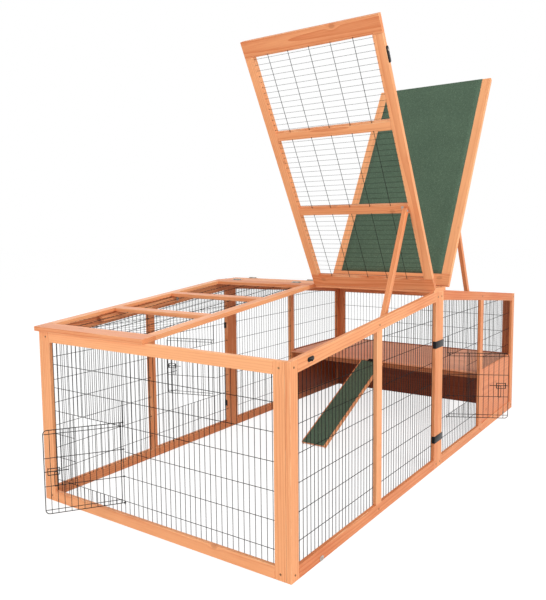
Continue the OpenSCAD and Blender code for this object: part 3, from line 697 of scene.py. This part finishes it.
# ---------------------------------------------------------------------------
# The two mesh lids, one standing open and one shut: pine frames with two cross
# rails, and three sheets of the same welded mesh in rebates on the underside.
# The close wires run along the ridge and the wide ones from ridge to edge.
lid_open_angle = -61.0
lid_pin = (0.066, 0, 0.795618)
lid_under = 0.0209
rebate_depth = 0.004
cell_from = 0.058
cross_rail = 0.040
end_rail = 0.065
lid_overhang = 0.015
lid_edge = (half_length + lid_overhang - lid_pin[0]) / math.cos(math.radians(roof_angle))
cells = 3
cell_length = (lid_edge - end_rail - cell_from - (cells - 1) * cross_rail) / cells
cell_inner = 0.044
cell_outer = 0.548
lid_first_row = 0.110


def lid_place(side_x, side_y, angle):
    """From a lid's own frame, X from the pin to its free edge and Z out of its face."""
    return Matrix.Diagonal((side_x, side_y, 1, 1)) @ Matrix.Translation(
        lid_pin) @ Matrix.Rotation(math.radians(angle), 4, "Y")


lids = {
    "front_left": lid_place(-1, -1, lid_open_angle),
    "back_left": lid_place(-1, 1, roof_angle),
    "front_right": lid_place(1, -1, lid_open_angle),
    "back_right": lid_place(1, 1, roof_angle),
}
in_lid_rebate = Matrix.Translation((0, 0, rebate_depth - wire_radius - lid_under)) @ Matrix((
    (1, 0, 0, 0), (0, 0, 1, 0), (0, -1, 0, 0), (0, 0, 0, 1)))
mesh_lid_tints = {0: 1.15, 1: 0.9, 2: 0.45, 3: 0.45, 4: 0.8, 5: 0.55}
for lid in ("front_left", "back_left"):
    boards(
        lid + "_lid_timber", lid + "_lid_frame", pine, tints=mesh_lid_tints)
    sheets = []
    for i in range(cells):
        cell = cell_from + i * (cell_length + cross_rail)
        low = cell_inner - rebate_grip
        high = cell_outer + rebate_grip
        sheets.append(put(sheet_mesh(
            cell - rebate_grip, cell + cell_length + rebate_grip, low, high, level_top,
            lid_first_row, no_doorway, mesh_wire, close_share=0.52),
            lids[lid] @ in_lid_rebate))
    piece = joined(lid + "_lid_wires", sheets)
    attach(piece, lid + "_lid")
    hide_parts(lid + "_lid_mesh")

# ---------------------------------------------------------------------------
# The two felted lids: a pine frame, thin plywood let in between its stiles, and
# green mineral felt, which is bitumen sheet with coloured grit pressed into it.
# It lies over the ply, turns down over the free edge and is nailed there.
felt_thickness = 0.003
felt_fold = 0.005
felt_wave = 0.0009
felt_wave_lag = 0.6
felt_waves = 6
felt_grit_depth = 0.0009
felt_grains = 420.0
felt_patches = 90.0
felt_drift = 7.0
steps_along = 40
steps_across = 20
steps_of_fold = 6


def felt_finish(name, deep, bright, pale):
    """Fine green grit, with paler and darker grains and a faint drift of tone."""
    material, start, shader = new_finish(name)
    place = start.node("ShaderNodeTexCoord", out="Object")
    cells_of_grit = {"Vector": place, "Scale": felt_grains}
    grit = start.node("ShaderNodeTexVoronoi", None, cells_of_grit, out="Distance")
    grain = start.node("ShaderNodeTexVoronoi", None, cells_of_grit, out="Color").parts()[0]
    drift = place.speckle(felt_drift, 3.0)
    patch = place.speckle(felt_patches, 3.0, 0.7)
    tone = (grain * 0.62 + drift * 0.4 + patch * 0.5 - 0.32).rise(0.05, 0.95)
    colour = tone.between(deep, bright)
    colour = (grain.rise(0.93, 0.97) * 0.55).between(colour, pale)
    relief = patch * 0.6 - grit * 0.9
    feed(
        shader,
        Base_Color=colour,
        Roughness=grain * 0.1 + 0.84,
        Normal=relief.node(
            "ShaderNodeBump", None,
            {"Strength": 0.5, "Distance": felt_grit_depth, "Height": relief}))
    return material


def box_of(spots):
    """The lowest and the highest corner of a box round some spots."""
    return [Vector([pick(spot[i] for spot in spots) for i in range(3)]) for pick in (min, max)]


def felt_sheet(name, node, place, turned_down):
    """A sheet of felt over a CAD node's face, a little wavy, with a soft fold."""
    back = place.inverted()
    low, high = box_of([back @ vert.co for vert in nodes[node].data.vertices])
    reach = high.x - felt_fold - low.x
    path = [(low.x + i * reach / steps_along, high.z) for i in range(steps_along + 1)]
    if turned_down:
        for i in range(1, steps_of_fold + 1):
            turn = math.radians(90 / steps_of_fold * i)
            path.append((
                high.x - felt_fold + felt_fold * math.sin(turn),
                high.z - felt_fold + felt_fold * math.cos(turn)))
        path.append((high.x, low.z))
    else:
        path[-1] = (high.x, high.z)
    bm = bmesh.new()
    rows = []
    for i, (x, z) in enumerate(path):
        row = []
        for j in range(steps_across + 1):
            y = low.y + j * (high.y - low.y) / steps_across
            inner = min(1, j, steps_across - j) * min(1, i)
            swell = noise.noise(Vector((x * felt_waves, y * felt_waves, low.y)))
            lift = inner * felt_wave * (swell - felt_wave_lag)
            row.append(bm.verts.new((x, y, z + (lift if x <= high.x - felt_fold else 0))))
        rows.append(row)
    for near, far in zip(rows, rows[1:]):
        for j in range(steps_across):
            bm.faces.new((near[j], far[j], far[j + 1], near[j + 1]))
    mesh = mesh_from(bm, name)
    mesh.polygons.foreach_set("use_smooth", [True] * len(mesh.polygons))
    piece = new_piece(name, put(mesh, place))
    thick = piece.modifiers.new("thickness", "SOLIDIFY")
    thick.thickness = felt_thickness
    thick.offset = -1
    piece.data.materials.append(green_felt)
    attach(piece, body_of[node])
    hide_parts(node)


green_felt = felt_finish(
    "green_mineral_felt",
    deep=shade(66, 88, 70), bright=shade(90, 115, 92), pale=shade(112, 134, 112))
for lid in ("front_right", "back_right"):
    boards(
        lid + "_lid_timber", lid + "_lid_frame", pine,
        tints={0: 0.6, 1: 0.2, 2: 0.05})
    boards(lid + "_lid_ply", lid + "_lid_board", ply, arris=0.0005)
    felt_sheet(lid + "_lid_felt_sheet", lid + "_lid_felt", lids[lid], turned_down=True)

# ---------------------------------------------------------------------------
# The props: a pine stick for each lid, round at its pivot and cut to the slope
# of its rest at the foot, and the small pine block on the side that it stands
# on. They are the same planed and glazed pine as the frame.
for lid in lids:
    boards(lid + "_prop_timber", lid + "_prop", pine, arris=0.001)
boards("prop_rests_timber", "prop_rests", pine, arris=0.001)

# ---------------------------------------------------------------------------
# The steel fittings: hinges along the ridge and at the ramp, the brackets that
# the props turn on, latch levers and their catches, the clips that hold the
# half-panels together and the eyes for the ground pegs. All pressed from sheet.
round_below = math.radians(32)


def fitting(name, node, finish, arris):
    """A CAD node in metal: flat faces whole, edges eased and round parts smooth."""
    points, polygons = [], []
    for corners, faces in solids_of(node):
        bm, edge_faces = eased(corners, faces, arris)
        bm.verts.index_update()
        first = len(points)
        points.extend(vert.co.copy() for vert in bm.verts)
        polygons.extend([first + v.index for v in face.verts] for face in bm.faces)
        bm.free()
    mesh = bpy.data.meshes.new(name)
    mesh.from_pydata(points, [], polygons)
    mesh.polygons.foreach_set("use_smooth", [True] * len(mesh.polygons))
    mesh.set_sharp_from_angle(angle=round_below)
    mesh.materials.append(finish)
    piece = new_piece(name, mesh)
    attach(piece, body_of[node])
    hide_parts(node)


black_steel = wire_finish(
    "black_painted_steel", dark=shade(8, 8, 9), pale=shade(24, 24, 26), metal=0, rough=0.36,
    shine=0.2)
zinc_plate = wire_finish(
    "zinc_plate", dark=shade(150, 142, 132), pale=shade(205, 197, 188), metal=0.4, rough=0.4)
for lid in lids:
    fitting(lid + "_lid_steel", lid + "_lid_hardware", zinc_plate, arris=0.0002)
for lid in ("front_left", "back_left"):
    fitting(lid + "_latch_lever", lid + "_latch", black_steel, arris=0.0006)
fitting("catch_plates", "latch_catches", black_steel, arris=0.0005)
fitting("ridge_hinge_steel", "ridge_hinges", zinc_plate, arris=0.0002)
fitting("half_panel_clips", "panel_clips", black_steel, arris=0.0005)
fitting("ground_peg_eyes", "peg_eyes", zinc_plate, arris=0.0004)

# ---------------------------------------------------------------------------
# The three doors: bent and welded wire, hung by loops on an upright of the mesh.
# Two wires run close together at the top and the foot, and a bolt with a thumb
# loop slides in a bracket of bent strip at the middle of the free side.
door_width = 0.2676
door_height = 0.297
door_edge = 0.007
door_corner = 0.012
door_twin = 0.015
door_radius = 0.0015
hinge_wire_radius = 0.0011
door_corner_steps = 5
hinge_corner = 0.002
loop_play = 0.0003
cross_share = 0.85
upright_share = 0.7
door_drop = 0.005
hinge_pin_out = 0.0018
end_door_open = 55
front_door_open = 63
back_door_open = 74
door_sizes = (
    "Width", "Height", "Hinge side", "Corner", "Twin", "Spaces", "Rows", "Wire radius")
start, given = new_pattern("wire_door", door_sizes)
here = start.node("GeometryNodeInputPosition").parts()
radius = given["Wire radius"]
inner_high = given["Height"] - radius * 2
inner_wide = given["Width"] - given["Hinge side"] - radius * 2
frame_middle = given["Hinge side"] + radius + inner_wide * 0.5
rim = start.node(
    "GeometryNodeCurvePrimitiveQuadrilateral", {"mode": "RECTANGLE"},
    {"Width": inner_wide, "Height": inner_high})
rim = start.node(
    "GeometryNodeFilletCurve", {"mode": "POLY"},
    {"Curve": rim, "Count": door_corner_steps,
     "Radius": (here[0] > 0.0) * given["Corner"] + hinge_corner})
round_wire = start.node(
    "GeometryNodeCurvePrimitiveCircle", None, {"Resolution": 8, "Radius": radius})
rim = start.node(
    "GeometryNodeCurveToMesh", None, {"Curve": rim, "Profile Curve": round_wire})
rim = start.node(
    "GeometryNodeTransform", None,
    {"Geometry": rim, "Rotation": (math.pi / 2, 0.0, 0.0),
     "Translation": start.vector(frame_middle, 0.0, given["Height"] * 0.5)})
wire = stick(start, radius * cross_share, sides=8)
close_wire = stick(start, radius * upright_share, sides=8)
space = (given["Width"] - given["Hinge side"]) / given["Spaces"]
uprights = row_of(
    start, given["Spaces"] - 1, start.vector(given["Hinge side"] + space, 0.0, 0.0),
    start.vector(space, 0.0, 0.0))
row = given["Height"] / given["Rows"]
levels = row_of(
    start, given["Rows"] + 1, (0.0, 0.0, 0.0), start.vector(0.0, 0.0, row))
kept_in = here[2].most(radius).least(given["Height"] - radius) - here[2]
twins = row_of(
    start, 2, start.vector(0.0, 0.0, given["Twin"]),
    start.vector(0.0, 0.0, given["Height"] - given["Twin"] * 2))
inner_rows = (here[2] > given["Twin"]) * (1 - (here[2] > given["Height"] - given["Twin"]))
loop = start.node(
    "GeometryNodeCurveToMesh", None,
    {"Curve": start.node(
        "GeometryNodeCurvePrimitiveCircle", None,
        {"Resolution": 16, "Radius": radius * 2 + loop_play}),
     "Profile Curve": round_wire})
end_pattern(start, given, [
    rim,
    laid(start, uprights, close_wire, start.vector(0.0, 0.0, radius), standing,
         given["Height"] - radius * 2),
    laid(start, levels, wire, start.vector(radius * 2, 0.0, kept_in),
         lying, given["Hinge side"]),
    laid(start, levels, wire, start.vector(given["Hinge side"], 0.0, kept_in),
         lying, inner_wide, inner_rows),
    laid(start, twins, wire, start.vector(given["Hinge side"], 0.0, 0.0),
         lying, inner_wide + radius),
    start.node("GeometryNodeInstanceOnPoints", None, {
        "Points": start.node(
            "GeometryNodeSetPosition", None,
            {"Geometry": levels, "Offset": start.vector(0.0, 0.0, kept_in)}),
        "Instance": loop}),
])
wire_door = start.tree


def strip_box(bm, low, high):
    """A bar of flat strip between two corners."""
    made = bmesh.ops.create_cube(bm, size=1)
    middle = (Vector(low) + Vector(high)) / 2
    span = Vector(high) - Vector(low)
    for vert in made["verts"]:
        vert.co = middle + Vector([vert.co[i] * span[i] for i in range(3)])


guide_from = 0.215
guide_length = 0.041
guide_height = 0.025
guide_sheet = 0.0025
guide_back = 0.0097
guide_bar_back = 0.0035
guide_arris = 0.0005


def guide_mesh(finish):
    """The bracket that the bolt slides in: two cheeks and two bars of strip."""
    bm = bmesh.new()
    low = door_height / 2 - guide_height / 2
    high = door_height / 2 + guide_height / 2
    for x in (guide_from, guide_from + guide_length - guide_sheet):
        strip_box(bm, (x, -guide_back, low), (x + guide_sheet, -door_radius / 2, high))
    for z in (low, high - guide_sheet):
        strip_box(
            bm, (guide_from, -guide_bar_back, z),
            (guide_from + guide_length, -door_radius / 2, z + guide_sheet))
    bmesh.ops.bevel(
        bm, geom=bm.edges[:], offset=guide_arris, offset_type="OFFSET", segments=2,
        profile=0.5, affect="EDGES", clamp_overlap=True)
    mesh = mesh_from(bm, "guide")
    mesh.materials.append(finish)
    return mesh


door_wire = wire_finish(
    "dark_door_wire", dark=shade(20, 20, 20), pale=shade(44, 44, 43), metal=0, rough=0.65,
    shine=0.2)
side_door_foot = side_first_row + row_pitch - door_drop
swap_x_and_y = Matrix(((0, 1, 0, 0), (1, 0, 0, 0), (0, 0, 1, 0), (0, 0, 0, 1)))
doors = {
    "end": Matrix.Diagonal((-1, 1, 1, 1)) @ Matrix.Translation(
        (end_sheet_at + hinge_pin_out, end_door_at, end_first_row - door_drop)) @ swap_x_and_y
    @ Matrix.Rotation(math.radians(end_door_open), 4, "Z"),
    "front": Matrix.Diagonal((1, -1, 1, 1)) @ Matrix.Translation(
        (front_door_at, side_sheet_at + hinge_pin_out, side_door_foot))
    @ Matrix.Rotation(math.radians(front_door_open), 4, "Z"),
    "back": Matrix.Diagonal((-1, 1, 1, 1)) @ Matrix.Translation(
        (back_door_at, side_sheet_at + hinge_pin_out, side_door_foot))
    @ Matrix.Rotation(math.radians(back_door_open), 4, "Z"),
}
for door, place in doors.items():
    wires = made_up(door + "_door", wire_door, in_decimals({
        "Width": door_width, "Height": door_height, "Hinge side": door_edge,
        "Corner": door_corner, "Twin": door_twin, "Spaces": doorway_spaces,
        "Rows": doorway_rows, "Wire radius": door_radius}), door_wire)
    piece = joined(door + "_door_wires", [put(wires, place), put(guide_mesh(door_wire), place)])
    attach(piece, door + "_door")
    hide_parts(door + "_door")
    fitting(
        door + "_door_bolt_wire", door + "_door_bolt", door_wire, arris=0.0003)

bm = bmesh.new()
for corners, faces in solids_of("door_hinge_rods"):
    low, high = box_of(corners)
    bmesh.ops.create_cone(
        bm, cap_ends=True, segments=8, radius1=hinge_wire_radius, radius2=hinge_wire_radius,
        depth=high.z - low.z, matrix=Matrix.Translation((low + high) / 2))
hinge_wires = mesh_from(bm, "door_hinge_wires")
hinge_wires.materials.append(door_wire)
piece = new_piece("door_hinge_wires", hinge_wires)
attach(piece, "run")
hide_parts("door_hinge_rods")

# ---------------------------------------------------------------------------
# The ramp: a plywood board with green felt on its face so that paws can grip, a
# thin pine strip down each side, cleats under it and one hinge at the platform.
# Its free end stands on the grass.
ramp_slope = -25.564
ramp_pin = (0.564, 0.0215, 0.3212)
ramp_place = Matrix.Translation(ramp_pin) @ Matrix.Rotation(
    math.radians(ramp_slope), 4, "Y") @ Matrix.Rotation(math.pi, 4, "Z")
boards("ramp_ply", "ramp_board", ply, arris=0.0006)
boards("ramp_side_strips", "ramp_strips", pine, arris=0.0008, darker=0.1)
felt_sheet("ramp_felt_sheet", "ramp_felt", ramp_place, turned_down=False)
fitting("ramp_hinge_leaf", "ramp_hinge", black_steel, arris=0.0002)
fitting("ramp_hinge_fixed_leaf", "ramp_hinge_seat", black_steel, arris=0.0002)

# ---------------------------------------------------------------------------
# The screws: low round heads with a cross recess, two at each end of a rail or
# post, and four through the ridge board. They are steel with a yellow zinc plate.
head_radius = 0.0035
head_rise = 0.0012
recess_half = 0.0006
recess_reach = 0.0021
recess_floor = 0.0002
recess_taper = 0.8
head_sides = 24


def screw_head():
    """A low head with a cross recess, standing on z = 0."""
    bm = bmesh.new()
    rings = [
        [bm.verts.new((
            radius * math.cos(2 * math.pi * i / head_sides),
            radius * math.sin(2 * math.pi * i / head_sides), z)) for i in range(head_sides)]
        for radius, z in (
            (head_radius, 0), (head_radius, head_rise * 0.5),
            (head_radius * 0.86, head_rise * 0.9), (head_radius * 0.72, head_rise))]
    for low, high in zip(rings, rings[1:]):
        for i in range(head_sides):
            bm.faces.new((low[i - 1], low[i], high[i], high[i - 1]))
    cross = []
    a, b = recess_half, recess_reach
    for x, y in ((b, -a), (b, a), (a, a), (a, b), (-a, b), (-a, a),
                 (-b, a), (-b, -a), (-a, -a), (-a, -b), (a, -b), (a, -a)):
        cross.append(bm.verts.new((x, y, head_rise)))
    floor = [
        bm.verts.new((v.co.x * recess_taper, v.co.y * recess_taper, recess_floor)) for v in cross]
    rim_edges = [bm.edges.get((high[i - 1], high[i])) for i in range(head_sides)]
    cross_edges = [bm.edges.new((cross[i - 1], cross[i])) for i in range(len(cross))]
    bmesh.ops.triangle_fill(bm, use_beauty=True, use_dissolve=False, edges=rim_edges + cross_edges)
    for i in range(len(cross)):
        bm.faces.new((cross[i - 1], cross[i], floor[i], floor[i - 1]))
    bm.faces.new(floor)
    bm.faces.new(list(reversed(rings[0])))
    bmesh.ops.recalc_face_normals(bm, faces=bm.faces[:])
    return mesh_from(bm, "screw_head")


yellow_zinc = wire_finish(
    "yellow_zinc_plate", dark=shade(122, 88, 56), pale=shade(176, 132, 88), metal=0.4, rough=0.4)
start, given = new_pattern("screw_rows", (), on_points=True)
facing = start.node(
    "GeometryNodeInputNamedAttribute", {"data_type": "FLOAT_VECTOR"}, {"Name": "facing"})
turned = start.node("FunctionNodeAlignRotationToVector", {"axis": "Z"}, {"Vector": facing})
head = start.node("GeometryNodeObjectInfo", None, {"Object": given["Head"]}, out="Geometry")
heads = start.node(
    "GeometryNodeInstanceOnPoints", None,
    {"Points": given["Places"], "Instance": head, "Rotation": turned})
spin = start.node(
    "FunctionNodeRandomValue", {"data_type": "FLOAT"},
    {"Max": math.pi, "Seed": 11}, out=1)
heads = start.node(
    "GeometryNodeRotateInstances", None,
    {"Instances": heads, "Rotation": start.vector(0.0, 0.0, spin)})
end_pattern(start, given, [heads], smooth=False)

places, facings = [], []
for corners, faces in solids_of("frame_screws"):
    low, high = box_of(corners)
    middle = (low + high) / 2
    axis = min(range(3), key=lambda i: high[i] - low[i])
    outward = 1 if middle[axis] > 0 else -1
    facing = Vector([outward if i == axis else 0 for i in range(3)])
    places.append(middle - facing * head_rise / 2)
    facings.extend(facing)
spots = bpy.data.meshes.new("screw_places")
spots.from_pydata(places, [], [])
spots.attributes.new("facing", "FLOAT_VECTOR", "POINT").data.foreach_set("vector", facings)
head_object = new_piece("screw_head", screw_head())
screws = new_piece("screw_heads", made_up(
    "screws", start.tree, {"Head": head_object}, yellow_zinc, spots))
bpy.data.objects.remove(head_object)
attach(screws, "run")
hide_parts("frame_screws")

# ---------------------------------------------------------------------------
# The room: a plain white floor that keeps a faint shadow, a white surround and
# three large soft lamps. The right-hand long side gets the most of the light.
floor_reach = 30
floor_height = -0.0005
floor_colour = (0.9, 0.9, 0.9, 1)
floor_glow = 1.18
floor_whiteness = 0.75
ambient = 0.5
pure_white = (1, 1, 1, 1)


def emptied(owner):
    """A tone to start an owner's own nodes from, with none in the tree yet."""
    owner.use_nodes = True
    for old in list(owner.node_tree.nodes):
        owner.node_tree.nodes.remove(old)
    return Tone(owner.node_tree)


def seen_straight(start):
    """1 for what the camera sees, in a gloss or through glass too, and 0 for lighting."""
    by_eye, by_gloss, by_glass = (
        start.node("ShaderNodeLightPath", out=ray)
        for ray in ("Is Camera Ray", "Is Glossy Ray", "Is Transmission Ray"))
    return by_eye.most(by_gloss).most(by_glass)


floor_finish = bpy.data.materials.new("floor")
start = emptied(floor_finish)
matt = start.node("ShaderNodeBsdfDiffuse", None, {"Color": floor_colour})
white = start.node("ShaderNodeEmission", None, {"Color": pure_white, "Strength": floor_glow})
mixed = start.node("ShaderNodeMixShader", None, {
    0: seen_straight(start) * floor_whiteness, 1: matt, 2: white})
result = start.tree.nodes.new("ShaderNodeOutputMaterial")
start.tree.links.new(mixed.socket, result.inputs["Surface"])

floor_mesh = bpy.data.meshes.new("floor")
floor_mesh.from_pydata(
    [(x * floor_reach, y * floor_reach, floor_height)
     for x, y in ((-1, -1), (1, -1), (1, 1), (-1, 1))], [], [(0, 1, 2, 3)])
floor_mesh.materials.append(floor_finish)
new_piece("floor", floor_mesh)

world = bpy.data.worlds.new("surround")
bpy.context.scene.world = world
start = emptied(world)
strength = seen_straight(start) * (1 - ambient) + ambient
sky = start.node("ShaderNodeBackground", None, {"Color": pure_white, "Strength": strength})
result = start.tree.nodes.new("ShaderNodeOutputWorld")
start.tree.links.new(sky.socket, result.inputs["Surface"])

lit_spot = Vector((0, 0, 0.5))
for name, spot, size, watts in (
        ("key", (-0.6, -5.2, 3.4), 3.0, 172),
        ("fill", (-5.4, 0.4, 2.2), 3.0, 90),
        ("back", (2.5, 4.5, 4.0), 3.0, 60)):
    lamp_data = bpy.data.lights.new(name, "AREA")
    lamp_data.shape = "SQUARE"
    lamp_data.size = size
    lamp_data.energy = watts
    lamp = bpy.data.objects.new(name, lamp_data)
    bpy.context.collection.objects.link(lamp)
    lamp.location = spot
    lamp.rotation_euler = (lit_spot - Vector(spot)).to_track_quat("-Z", "Y").to_euler()

bpy.context.scene.view_settings.view_transform = "Standard"
